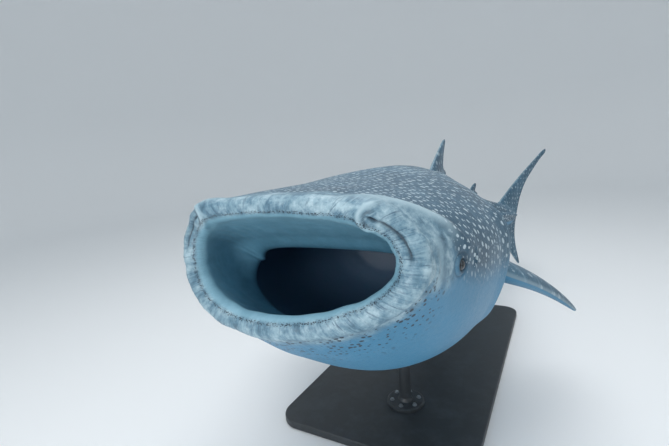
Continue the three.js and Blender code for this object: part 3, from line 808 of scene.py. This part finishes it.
# The values of the skin's points, found again by where they are. Points made by the union take the
# mean of their neighbours.
joined_points = np.empty(len(joined.vertices) * 3, np.float32)
joined.vertices.foreach_get("co", joined_points)
joined_points = joined_points.reshape(-1, 3)
first_points = np.concatenate([solid[0] for solid in solids]).astype(np.float32)
every_point = np.ascontiguousarray(np.concatenate([first_points, joined_points]) + np.float32(0))
number = np.unique(every_point.view(np.dtype((np.void, 12))).ravel(), return_inverse=True)[1].ravel()
origin = np.full(number.max() + 1, -1)
origin[number[: len(first_points)]] = np.arange(len(first_points))
found = origin[number[len(first_points) :]]
edges = np.empty(len(joined.edges) * 2, np.int32)
joined.edges.foreach_get("vertices", edges)
near, far = edges.reshape(-1, 2).T
point_count = len(joined_points)


def sum_of_neighbours(value, near, far):
    """Sum of a value over each point's neighbours, by the points at both ends of the edges."""
    return np.bincount(near, value[far], point_count) + np.bincount(far, value[near], point_count)


FILL_STEPS = 4
skin_values = {}
for name in sorted({name for _, _, values in solids for name in values}):
    value = np.concatenate([values.get(name, 0 * points[:, 0]) for points, _, values in solids])[found]
    known = (found >= 0).astype(float)
    value[found < 0] = 0
    for _ in range(FILL_STEPS):
        known_beside = sum_of_neighbours(known, near, far)
        mean = sum_of_neighbours(value * known, near, far) / np.maximum(known_beside, 1e-9)
        fill = (known == 0) & (known_beside > 0)
        value[fill] = mean[fill]
        known[fill] = 1
    skin_values[name] = value

# Fillets at the roots of the fins, by relaxing the skin near the seams. Only the points in cells
# beside those of the seams are measured, and a code tells the cells apart.
CELL_CODE = [1, 4000, 16000000]
seam = joined_points[found < 0].astype(float)
tree = KDTree(len(seam))
for index, point in enumerate(seam):
    tree.insert(point, index)
tree.balance()
CELLS_PAST_ZERO = 1000
cell_of = np.floor(joined_points / ROOT_REACH).astype(np.int64) + CELLS_PAST_ZERO
seam_cells = np.unique(cell_of[found < 0], axis=0)
beside = np.array([[i, j, k] for i in (-1, 0, 1) for j in (-1, 0, 1) for k in (-1, 0, 1)])
near_codes = np.unique((seam_cells[:, None] + beside[None]).reshape(-1, 3) @ CELL_CODE)
distance = np.full(point_count, 2 * ROOT_REACH)
for index in np.where(np.isin(cell_of @ CELL_CODE, near_codes))[0]:
    distance[index] = tree.find(joined_points[index])[2]
weight = 1 - smoothstep(distance, ROOT_REACH * 0.3, ROOT_REACH)
chosen = weight > 0
inner_edges = chosen[near] | chosen[far]
near_in, far_in = near[inner_edges], far[inner_edges]
degree = np.maximum(sum_of_neighbours(np.ones(point_count), near_in, far_in), 1)
relaxed = joined_points.astype(float)
for _ in range(RELAXINGS):
    for axis in range(3):
        mean = sum_of_neighbours(relaxed[:, axis], near_in, far_in) / degree
        relaxed[:, axis] += np.where(chosen, (mean - relaxed[:, axis]) * weight * RELAX_SHARE, 0)
joined.vertices.foreach_set("co", relaxed.astype(np.float32).ravel())
joined.update()
joined.shade_smooth()
for name in list(joined.attributes.keys()):
    if name in skin_values:
        joined.attributes.remove(joined.attributes[name])
set_values(joined, skin_values)


def linear(colour):
    """Linear colour from an sRGB hex value."""
    channels = [int(colour[i : i + 2], 16) / 255 for i in (1, 3, 5)]
    return [c / 12.92 if c <= 0.04045 else ((c + 0.055) / 1.055) ** 2.4 for c in channels] + [1.0]


def add(tree, kind, inputs=None, **settings):
    """Adds a shader node of a kind. Each input is given by name or number. It takes a value or an
    sRGB hex value, or is linked to an output or to a node's first output."""
    made = tree.nodes.new("ShaderNode" + kind)
    for name, value in settings.items():
        setattr(made, name, value)
    for name, value in (inputs or {}).items():
        if isinstance(value, str):
            value = linear(value)
        if isinstance(value, bpy.types.Node):
            value = value.outputs[0]
        if isinstance(value, bpy.types.NodeSocket):
            tree.links.new(value, made.inputs[name])
        else:
            made.inputs[name].default_value = value
    return made


def noise(tree, at, scale, detail, roughness=0.5):
    """Cloudy noise with about so many clouds to a metre."""
    inputs = {"Vector": at, "Scale": scale, "Detail": detail, "Roughness": roughness}
    return add(tree, "TexNoise", inputs)


def mapped(tree, value, from_low=0, from_high=1, to_low=0, to_high=1):
    """Carries a value over from one range to another and stops it at the ends."""
    ends = {"From Min": from_low, "From Max": from_high, "To Min": to_low, "To Max": to_high}
    return add(tree, "MapRange", {"Value": value, **ends})


def blend(tree, amount, under, over):
    """Lays one colour over another by an amount."""
    return add(tree, "Mix", {0: amount, 6: under, 7: over}, data_type="RGBA").outputs[2]


def colour_ramp(tree, value, stops):
    """Colours at stops from 0 to 1. A new ramp has two stops, and the others are added."""
    made = add(tree, "ValToRGB", {"Fac": value})
    elements = made.color_ramp.elements
    for number, (at, shade) in enumerate(stops):
        element = elements[number] if number < 2 else elements.new(at)
        element.position, element.color = at, linear(shade)
    return made


def new_material(name):
    material = bpy.data.materials.new(name)
    material.use_nodes = True
    material.node_tree.nodes.clear()
    return material, material.node_tree


def finish_material(tree, **finish):
    """Ends a material with its surface. A finish is named as the shader's input, with _ for a space."""
    inputs = {name.replace("_", " "): value for name, value in finish.items()}
    add(tree, "OutputMaterial", {"Surface": add(tree, "BsdfPrincipled", inputs)})


def finish_piece(piece, material):
    """Gives a new piece its material and hangs it under the root body."""
    piece.data.materials.append(material)
    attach(piece, "root")


def round_marks(tree, at, scale, randomness, least, most, softness, dimensions="3D"):
    """Round marks, one to a cell, with radii from least to most of a cell and soft edges. One whose
    radius is less than nothing doesn't show."""
    inputs = {"Vector": at, "Scale": scale, "Randomness": randomness}
    middles = add(tree, "TexVoronoi", inputs, voronoi_dimensions=dimensions)
    pick = add(tree, "SeparateColor", {"Color": middles.outputs["Color"]})
    reach = mapped(tree, pick, 0, 1, least, most)
    past = add(tree, "Math", {0: middles.outputs["Distance"], 1: reach}, operation="SUBTRACT")
    return mapped(tree, past, softness, -softness)


# Hide of a whale shark: thick skin covered in tiny tooth-like scales. It gives a satin sheen when
# wet, with blunt highlights. Slate blue above with rows of pale spots, plain and paler below.
hide, tree = new_material("wet_shark_hide")
mark = {name: add(tree, "Attribute", attribute_name=name).outputs["Fac"] for name in skin_values}
position = add(tree, "TexCoord").outputs["Object"]

# Clouds about 400 mm across, mottling about 20 mm across and patches of the lips about 65 mm across.
# The lips' patches are mottling that is partly painted dappled light and shade.
clouds = noise(tree, position, 2.5, 6.0, 0.6)
mottle = noise(tree, position, 48.0, 5.0, 0.65)
patches = noise(tree, position, 15.0, 7.0, 0.68)
cloud = mapped(tree, clouds, 0.35, 0.65)
fine = mapped(tree, mottle, 0.4, 0.68, 0, 0.35)
pale_patch_and_painted_light = mapped(tree, patches, 0.47, 0.66)
dark_patch_and_painted_shade = mapped(tree, patches, 0.46, 0.3)

# Spots: one to a cell of 34 mm on the lips to 105 mm on the trunk and at most half a cell across,
# with smaller ones between them. They are broken up by the mottling and fainter on the fins.
cells = add(tree, "CombineXYZ", {"X": mark["cell_along"], "Y": mark["cell_around"]})
drift = noise(tree, cells, 0.6, 2.0).outputs["Color"]
drifted = add(tree, "VectorMath", {0: drift, 1: (0.5, 0.5, 0), 2: cells}, operation="MULTIPLY_ADD")
large = round_marks(tree, drifted, 1.0, 0.38, least=0.1, most=0.25, softness=0.035, dimensions="2D")
small = round_marks(tree, drifted, 1.7, 0.9, least=-0.16, most=0.18, softness=0.05, dimensions="2D")
spot = add(tree, "Math", {0: large, 1: small}, operation="MAXIMUM")
whole = mapped(tree, mottle, 0.2, 1, 0.6)
off_fins = mapped(tree, mark["fin"], 0, 1, 1.0, 0.5)
for weaker in (whole, off_fins):
    spot = add(tree, "Math", {0: spot, 1: weaker}, operation="MULTIPLY")

# Faint pale bars across the back, one to every second row of spots
along_drifted = add(tree, "SeparateXYZ", {0: drifted}).outputs["X"]
bars = add(tree, "Math", {0: along_drifted, 1: 1.0}, operation="PINGPONG")
bar = mapped(tree, bars, 0.8, 0.95, 0, 0.6)
bar = add(tree, "Math", {0: bar, 1: cloud}, operation="MULTIPLY")

# Edge of the pale belly, broken up by the clouds
ragged = add(tree, "Math", {0: clouds, 1: 0.3, 2: mark["pale"]}, operation="MULTIPLY_ADD")
belly = mapped(tree, ragged, 0.25, 0.85)

# Furrows across the lips, about 15 mm apart with finer ones between, drawn out along the way over
# the lip. Dark flecks below the lips are up to 18 mm across.
lip_round = add(tree, "CombineXYZ", {"X": mark["lip_x"], "Y": mark["lip_y"], "Z": mark["turn"]})
across_lips = add(tree, "VectorMath", {0: lip_round, 1: (0.4, 0.4, 0.02)}, operation="MULTIPLY")
furrows = noise(tree, across_lips, 75.0, 4.0, 0.7)
streak = mapped(tree, furrows, 0.48, 0.72)
dark_furrow = mapped(tree, furrows, 0.44, 0.3)
fleck = round_marks(tree, position, 52.0, 1.0, least=-0.1, most=0.5, softness=0.06)

# Band of tiny teeth inside each lip, in rows about 7 mm apart
teeth = add(tree, "TexVoronoi", {"Vector": position, "Scale": 140.0, "Randomness": 0.8})
tooth = mapped(tree, teeth.outputs["Distance"], 0.48, 0.3)

# Lining of the mouth, by how deep it lies: pale behind the lip, darkened by painted shade towards the
# throat, and clouded
lining_colours_and_painted_shade = [
    (0, "#86b1c3"),
    (0.02, "#82b5cb"),
    (0.045, "#74aac2"),
    (0.06, "#6299b3"),
    (0.0645, "#587695"),
    (0.1, "#506e8e"),
]
lining = colour_ramp(tree, mark["depth"], lining_colours_and_painted_shade)
lining_cloud = mapped(tree, patches, 0.62, 0.34, 0, 0.3)

# Colours laid over that of the back: how much, within which mark, and the colour
colour = blend(tree, cloud, "#325368", "#4b738a")
layers = [
    (fine, None, "#2d4a5d"),
    (belly, None, "#3e82a6"),
    (bar, "spotted", "#7f9cad"),
    # Painted highlight along the edge of the head and the fins' leading edges
    (mark["crest"], None, "#9fb8c4"),
    (spot, "spotted", "#cfdfe6"),
    (mark["lip_face"], None, "#64879a"),
    # Pale and dark patches of the lips: mottling, partly painted dappled light and shade
    (pale_patch_and_painted_light, "lip_face", "#aec7d1"),
    (dark_patch_and_painted_shade, "lip_face", "#38596c"),
    (streak, "furrowed", "#92b0bd"),
    (dark_furrow, "furrowed", "#48667a"),
    # Painted highlight on the nostril flaps and along the edge of the head
    (mark["bright_fold"], None, "#a6c0cb"),
    # The lining, with painted shade deepening towards the throat
    (mark["lined"], None, lining),
    (lining_cloud, "lined", "#3f7288"),
    (fleck, "speckled", "#1e3242"),
    (tooth, "teeth", "#1b2b38"),
    # Painted shade in pits, creases and slits, and dark lines at the teeth and the fins' trailing edges
    (mark["crease"], None, "#1f3242"),
]
for amount, within, over in layers:
    if within:
        amount = add(tree, "Math", {0: amount, 1: mark[within]}, operation="MULTIPLY")
    colour = blend(tree, amount, colour, over)

# Scales too small to see, drawn as a grain about 4 mm across, with soft wrinkles about 40 mm apart
grain = noise(tree, position, 260.0, 3.0, 0.6)
wrinkles = noise(tree, position, 24.0, 6.0, 0.62)
height = add(tree, "Math", {0: wrinkles, 1: 2.2, 2: grain}, operation="MULTIPLY_ADD")
bump = add(tree, "Bump", {"Height": height, "Strength": 0.5, "Distance": 0.0022})
dull = mapped(tree, mottle, 0, 1, 0.34, 0.6)
finish_material(
    tree,
    Base_Color=colour,
    Roughness=dull,
    IOR=1.42,
    Coat_Weight=0.15,
    Coat_Roughness=0.25,
    Normal=bump,
)
skin.data.materials.clear()
finish_piece(skin, hide)
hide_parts(*[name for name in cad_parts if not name.startswith(("stand_", "eye_"))])

# Eye: a wet dark ball with a slightly domed clear front, a round pupil and a thin pale ring. The
# dome rises by a share of the radius and is so many radians wide.
EYE_RINGS, EYE_SIDES = 48, 72
DOME = {"rise": 0.045, "width": 0.55}
eye_look, tree = new_material("wet_eye")
position = add(tree, "TexCoord").outputs["Object"]
from_axis = add(tree, "Attribute", attribute_name="from_axis").outputs["Fac"]
flecked = noise(tree, position, 400.0, 3.0)
uneven = add(tree, "Math", {0: flecked, 1: 0.05, 2: from_axis}, operation="MULTIPLY_ADD")
eye_shades = [
    (0.13, "#040506"),
    (0.16, "#1a242b"),
    (0.18, "#0d1419"),
    (0.26, "#121a20"),
    (0.285, "#3f4d56"),
    (0.31, "#10161b"),
]
eye_rings = colour_ramp(tree, uneven, eye_shades)
finish_material(
    tree,
    Base_Color=eye_rings,
    Roughness=0.3,
    IOR=1.376,
    Coat_Weight=1.0,
    Coat_Roughness=0.03,
    Coat_IOR=1.376,
)
for sign, name in EYE_NODES.items():
    polar = np.linspace(0, np.pi, EYE_RINGS + 2)[1:-1][:, None]
    azimuth = np.linspace(0, 2 * np.pi, EYE_SIDES, endpoint=False)[None, :]
    dome = 1 + DOME["rise"] * hump(polar, 0, DOME["width"])
    radius = (EYE["radius"] - EYE["room"]) * dome + 0 * azimuth
    ball = np.stack(
        [
            sign * radius * np.cos(polar),
            radius * np.sin(polar) * np.cos(azimuth),
            radius * np.sin(polar) * np.sin(azimuth),
        ],
        -1,
    )
    vertices, faces, _ = tube(ball + np.array(node_centre(name)), {})
    eye = mesh_object(name.replace("eye_", "eyeball_"), vertices, faces)
    turned = np.repeat(polar[:, 0] / np.pi, EYE_SIDES)
    set_values(eye.data, {"from_axis": np.concatenate([turned, [0.0, 1.0]])})
    finish_piece(eye, eye_look)
    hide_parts(name)

# Stand: welded steel plate and tube with a baked powder coat. The coat gives a low satin gloss with
# a faint orange peel, about 3 mm from bump to bump.
coat, tree = new_material("powder_coated_steel")
position = add(tree, "TexCoord").outputs["Object"]
peel = noise(tree, position, 330.0, 2.0)
scuffs = noise(tree, position, 7.0, 8.0, 0.7)
dust = mapped(tree, scuffs, 0.45, 0.75)
dusty = blend(tree, dust, "#2c3135", "#3d4449")
gloss = mapped(tree, scuffs, 0, 1, 0.34, 0.6)
bump = add(tree, "Bump", {"Height": peel, "Strength": 0.35, "Distance": 0.0006})
finish_material(tree, Base_Color=dusty, Roughness=gloss, IOR=1.5, Normal=bump)

# Cradle pads: cut sheet of closed-cell rubber foam, matt, with fine pores about 2 mm across
pad, tree = new_material("foam_rubber")
position = add(tree, "TexCoord").outputs["Object"]
pores = add(tree, "TexVoronoi", {"Vector": position, "Scale": 420.0}).outputs["Distance"]
shade = noise(tree, position, 14.0, 5.0)
faded = blend(tree, shade, "#191c1f", "#2b3034")
bump = add(tree, "Bump", {"Height": pores, "Strength": 0.4, "Distance": 0.0008})
finish_material(tree, Base_Color=faded, Roughness=0.85, IOR=1.5, Normal=bump)
for name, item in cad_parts.items():
    if name.startswith("stand_"):
        item.data.materials.clear()
        item.data.materials.append(pad if "cradle" in name else coat)

# Bolts through the feet of the rods: hexagon heads on washers, zinc-plated steel with a cool sheen
# and faint crystals about 6 mm across
zinc, tree = new_material("zinc_plated_steel")
position = add(tree, "TexCoord").outputs["Object"]
crystals = noise(tree, position, 180.0, 4.0)
cool = blend(tree, crystals, "#8f959a", "#b4b9bd")
gloss = mapped(tree, crystals, 0, 1, 0.25, 0.5)
finish_material(tree, Base_Color=cool, Metallic=1.0, Roughness=gloss)

# Sizes in metres: the thickness of a foot, the radius of the circle of bolts and of a washer, and
# half the width of a hexagon across its flats
FOOT_HEIGHT = 0.026
BOLT_CIRCLE = 0.108
WASHER = 0.018
HEAD_FLATS = 0.012
BOLTS = 6
BOLT_SIDES = 48
bolt_turns = np.arange(BOLT_SIDES) * 2 * np.pi / BOLT_SIDES
to_flat = (bolt_turns + np.pi / 6) % (np.pi / 3) - np.pi / 6
hexagon = HEAD_FLATS / np.cos(to_flat)
washer = np.full(BOLT_SIDES, WASHER)

# Radius round a bolt at each height above the foot
bolt_profile = [
    (washer, 0.0),
    (washer, 0.0025),
    (washer - 0.0008, 0.003),
    (hexagon, 0.0031),
    (hexagon, 0.0115),
    (np.minimum(hexagon, HEAD_FLATS * 1.02), 0.013),
]
for end in ("front", "rear"):
    low, high = (Vector(corner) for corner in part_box(f"stand_rod_{end}"))
    middle = (low + high) / 2
    vertices, faces, first = [], [], 0
    for number in range(BOLTS):
        bolt_place = (number + 0.5) * 2 * math.pi / BOLTS
        x = middle.x + BOLT_CIRCLE * math.cos(bolt_place)
        y = middle.y + BOLT_CIRCLE * math.sin(bolt_place)
        z = low.z + FOOT_HEIGHT
        rounds = [
            np.stack([x + r * np.cos(bolt_turns), y + r * np.sin(bolt_turns), 0 * r + z + rise], -1)
            for r, rise in bolt_profile
        ]
        bolt_vertices, bolt_faces, _ = tube(np.stack(rounds), {})
        vertices.append(bolt_vertices)
        faces.append(bolt_faces + first)
        first += len(bolt_vertices)
    bolts = mesh_object(f"foot_bolts_{end}", np.concatenate(vertices), np.concatenate(faces))
    bolts.data.shade_flat()
    finish_piece(bolts, zinc)

# Studio: a round pale floor that curves up into a wall all the way round
STUDIO_MIDDLE = 0.8
STUDIO_FLAT, STUDIO_BEND, STUDIO_TOP = 15, 5, 24
STUDIO_SIDES, BEND_STEPS = 128, 12
UNDER_STAND = 0.001
studio_profile = [(0.02, 0.0)] + [(r, 0.0) for r in (4, 8, 12, STUDIO_FLAT)]
for step in range(1, BEND_STEPS + 1):
    bend = math.radians(90 * step / BEND_STEPS)
    rise = STUDIO_BEND - STUDIO_BEND * math.cos(bend)
    studio_profile.append((STUDIO_FLAT + STUDIO_BEND * math.sin(bend), rise))
studio_profile.append((STUDIO_FLAT + STUDIO_BEND, STUDIO_TOP))
studio_turns = np.arange(STUDIO_SIDES) * 2 * np.pi / STUDIO_SIDES
studio_points = np.array(
    [
        [(r * math.cos(a), r * math.sin(a) + STUDIO_MIDDLE, z - UNDER_STAND) for a in studio_turns]
        for r, z in studio_profile
    ]
)
i, j = np.meshgrid(np.arange(len(studio_profile) - 1), np.arange(STUDIO_SIDES), indexing="ij")
this, after = i * STUDIO_SIDES, (i + 1) * STUDIO_SIDES
k = (j + 1) % STUDIO_SIDES
studio_faces = np.stack([after + j, after + k, this + k, this + j], -1).reshape(-1, 4)
studio = mesh_object("studio_floor", studio_points.reshape(-1, 3), studio_faces)
paint, tree = new_material("matt_studio_paint")
finish_material(tree, Base_Color="#eceff1", Roughness=0.9)
studio.data.materials.append(paint)

# Light: an even dome of pale light and three soft boxes
scene = bpy.context.scene
world = bpy.data.worlds.new("studio_light")
world.use_nodes = True
world.node_tree.nodes["Background"].inputs["Color"].default_value = linear("#e9eef2")
world.node_tree.nodes["Background"].inputs["Strength"].default_value = 0.82
scene.world = world


def soft_box(name, place_at, aim, size, watts, colour):
    """A square soft light with sides of a size in metres, turned to what it is aimed at."""
    light = bpy.data.lights.new(name, "AREA")
    light.size = size
    light.energy = watts
    light.color = linear(colour)[:3]
    lamp = bpy.data.objects.new(name, light)
    lamp.location = place_at
    lamp.rotation_euler = (Vector(aim) - Vector(place_at)).to_track_quat("-Z", "Y").to_euler()
    scene.collection.objects.link(lamp)


soft_box("overhead_light", (0.3, -0.8, 7.5), (0.1, -0.2, 1.7), 6.0, 270, "#ffffff")
soft_box("front_light", (0.2, -8.0, 2.6), (0.3, -2.3, 1.7), 3.0, 170, "#ffffff")
soft_box("side_light", (5.5, -3.0, 3.0), (0.4, -0.8, 1.6), 3.0, 18, "#ffffff")

# Camera in front of the mouth and to the shark's left, where the photograph was taken from
PHOTO_WIDTH = 669
FOCAL_PIXELS = 400
SENSOR = 36.0
CAMERA_PLACE = (-0.166, 0.1325 * LENGTH, 0.029 * LENGTH)
CAMERA_YAW, CAMERA_TILT, CAMERA_ROLL = math.radians(29.5), math.radians(-2.5), math.radians(-0.6)
ahead = Vector(
    pitched(
        -math.sin(CAMERA_YAW) * math.cos(CAMERA_TILT),
        math.cos(CAMERA_YAW) * math.cos(CAMERA_TILT),
        math.sin(CAMERA_TILT),
    )
)
level_right = Vector(pitched(math.cos(CAMERA_YAW), math.sin(CAMERA_YAW), 0.0))
level_up = level_right.cross(ahead)
right = level_right * math.cos(CAMERA_ROLL) + level_up * math.sin(CAMERA_ROLL)
up = level_up * math.cos(CAMERA_ROLL) - level_right * math.sin(CAMERA_ROLL)
camera = bpy.data.objects.new("camera", bpy.data.cameras.new("camera"))
camera.data.sensor_width = SENSOR
camera.data.sensor_fit = "HORIZONTAL"
camera.data.lens = FOCAL_PIXELS / PHOTO_WIDTH * SENSOR
camera.data.clip_start = 0.05
camera.data.clip_end = 200
turned = Matrix((right, up, -ahead)).transposed().to_4x4()
camera.matrix_world = Matrix.Translation(Vector(place(*CAMERA_PLACE))) @ turned
scene.collection.objects.link(camera)
scene.camera = camera
scene.view_settings.view_transform = "Standard"
